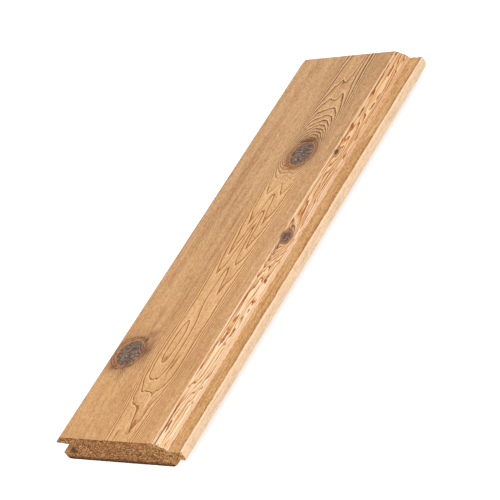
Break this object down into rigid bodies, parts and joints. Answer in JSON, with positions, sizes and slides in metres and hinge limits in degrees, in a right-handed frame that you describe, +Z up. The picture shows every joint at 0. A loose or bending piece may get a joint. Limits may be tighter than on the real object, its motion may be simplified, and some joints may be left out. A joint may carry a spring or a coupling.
{
  "type": "tongue and groove board",
  "caption": "Short length of V-joint tongue and groove board in knotty softwood: bevelled face, tongue on one long edge, groove on the other, square ends.",
  "frame": {"origin": "centre of the back, which lies on the floor: halfway across the milled width with its tongue, halfway along the length", "axes": "+X across the board towards the tongue, the groove is at -X; +Y along the grain; +Z up, out of the face"},
  "size_m": [0.0959, 0.3, 0.019],
  "materials": {
    "knotty_softwood": "planed and unfinished, with knots and flat-sawn grain"
  },
  "bodies": {
    "root": {"tongue_and_groove_board": "knotty_softwood"}
  },
  "joints": []
}
